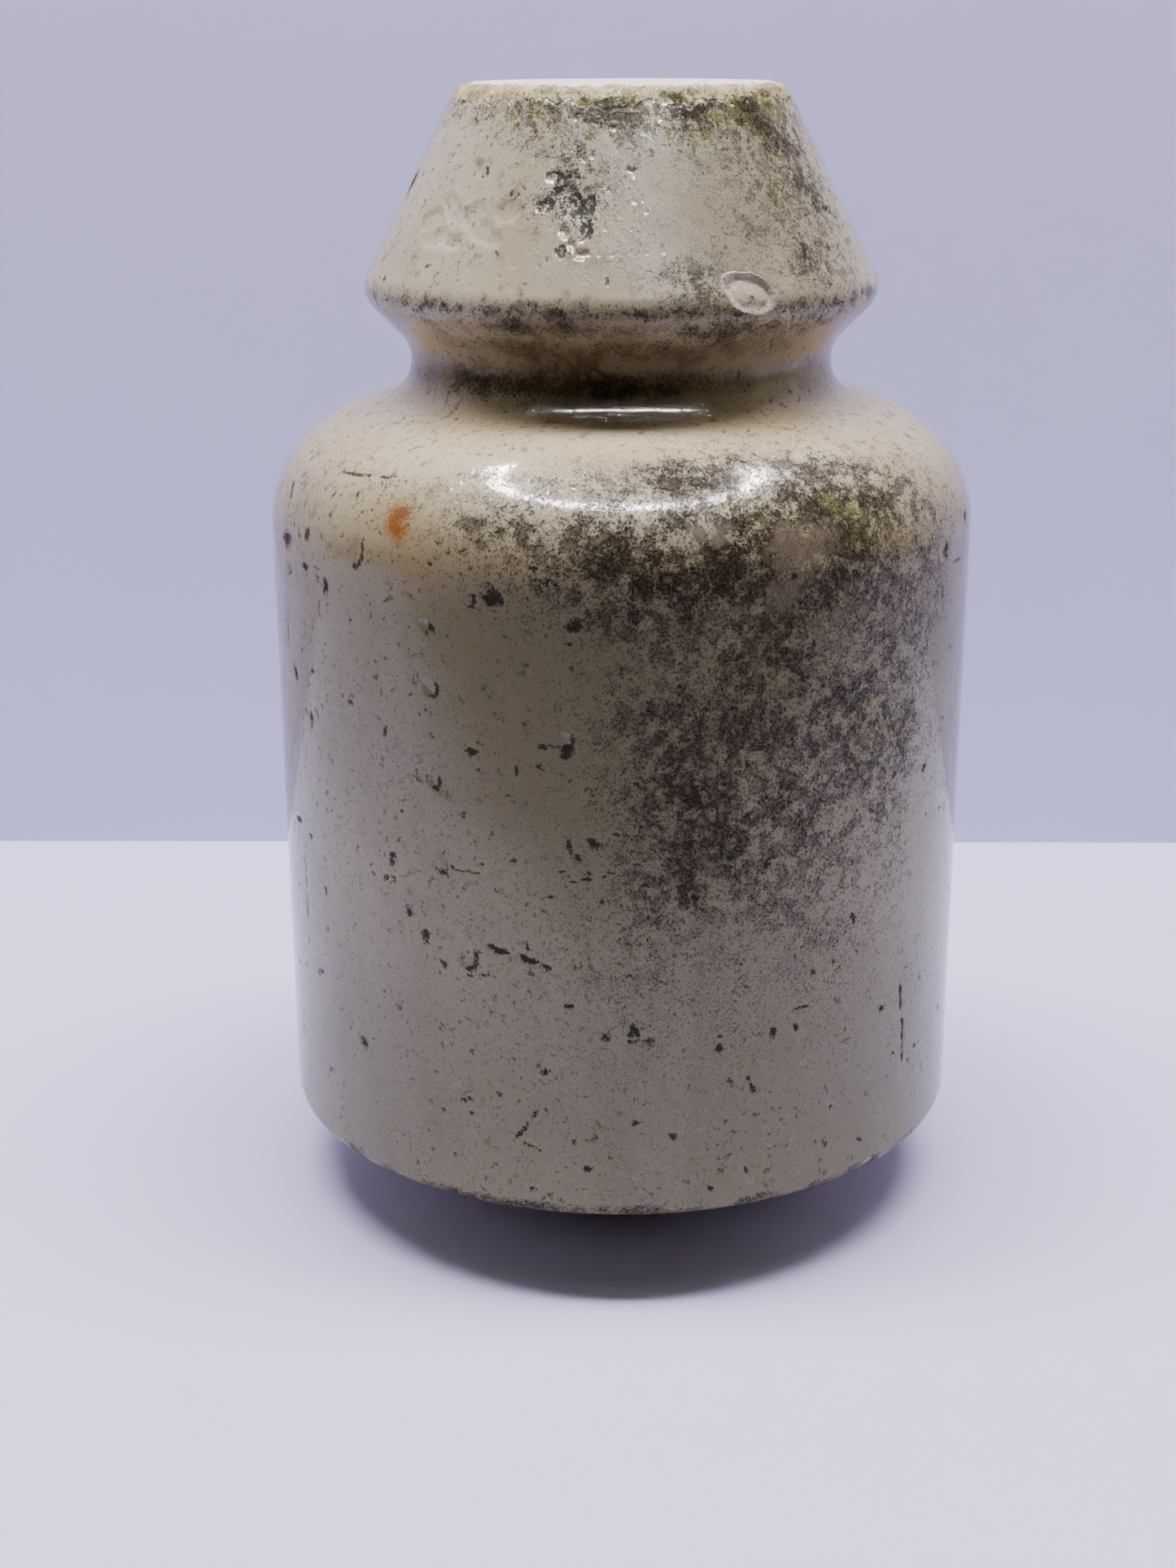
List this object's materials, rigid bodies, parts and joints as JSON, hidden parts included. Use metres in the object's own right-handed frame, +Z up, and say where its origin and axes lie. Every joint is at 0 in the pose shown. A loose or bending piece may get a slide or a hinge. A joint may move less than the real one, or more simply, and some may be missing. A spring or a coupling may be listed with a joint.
{
  "type": "porcelain pin insulator",
  "caption": "Glazed porcelain pin insulator with a conical head, wire groove, bell-shaped outer shed, cemented inner shed, threaded thimble and rubber seating ring.",
  "frame": {"origin": "centre of the seating ring's lower face, which the insulator stands on and the spindle's shoulder bears on", "axes": "+Z up the axis of revolution towards the crown; -Y towards the side that was pictured; +X to that view's right"},
  "size_m": [0.085, 0.085, 0.136],
  "materials": {
    "outer_glaze": "glossy cream-white glaze, weathered, with soot, algae and rust stains and small chips",
    "shell_cement": "rough grey Portland cement",
    "inner_glaze": "glossy cream glaze, dusty and lightly soiled",
    "thimble_cement": "rough grey Portland cement",
    "zinc_alloy": "dull cast zinc alloy, oxidised",
    "india_rubber": "matt aged black rubber"
  },
  "bodies": {
    "insulator": {"outer_shell": "outer_glaze", "shell_cement": "shell_cement", "inner_shell": "inner_glaze", "thimble_cement": "thimble_cement", "spindle_thimble": "zinc_alloy"},
    "ring": {"seating_ring": "india_rubber"}
  },
  "joints": [
    {"name": "ring_pull", "type": "slide", "parent": "insulator", "child": "ring", "axis": [0, 0, -1], "range_m": [0, 0.012]}
  ]
}
